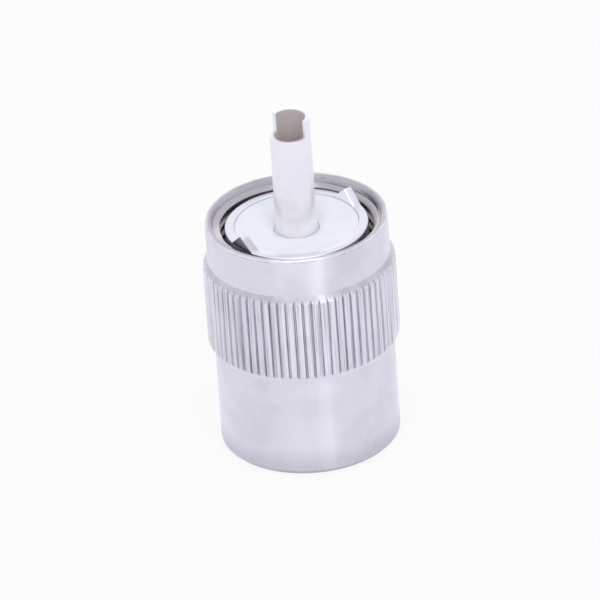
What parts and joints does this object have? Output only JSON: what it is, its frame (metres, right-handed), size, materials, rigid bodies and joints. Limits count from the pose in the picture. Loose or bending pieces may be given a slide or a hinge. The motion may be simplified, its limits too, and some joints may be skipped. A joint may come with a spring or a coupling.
{
  "type": "uhf coaxial plug",
  "caption": "Round coaxial cable plug with a knurled screw ring, a white insulator, two roof-shaped keys and a hollow centre pin.",
  "frame": {"origin": "on the plug's axis, in the plane of its rear end, which is the surface that it stands on", "axes": "+Z along the axis towards the tip of the centre pin; -Y is the side that the picture looks at, +X is to its right"},
  "size_m": [0.0184, 0.0184, 0.0344],
  "materials": {
    "nickel_plate": "nickel-plated turned brass, satin",
    "silver_plate": "silver-plated turned brass, bright",
    "white_insulator": "turned white fluoropolymer"
  },
  "bodies": {
    "plug": {"plug_body": "silver_plate", "insulator": "white_insulator", "centre_pin": "silver_plate"},
    "ring": {"coupling_ring": "nickel_plate"}
  },
  "joints": [
    {"name": "ring_slide", "type": "slide", "parent": "plug", "child": "ring", "axis": [0, 0, 1], "range_m": [0, 0.0108]}
  ]
}
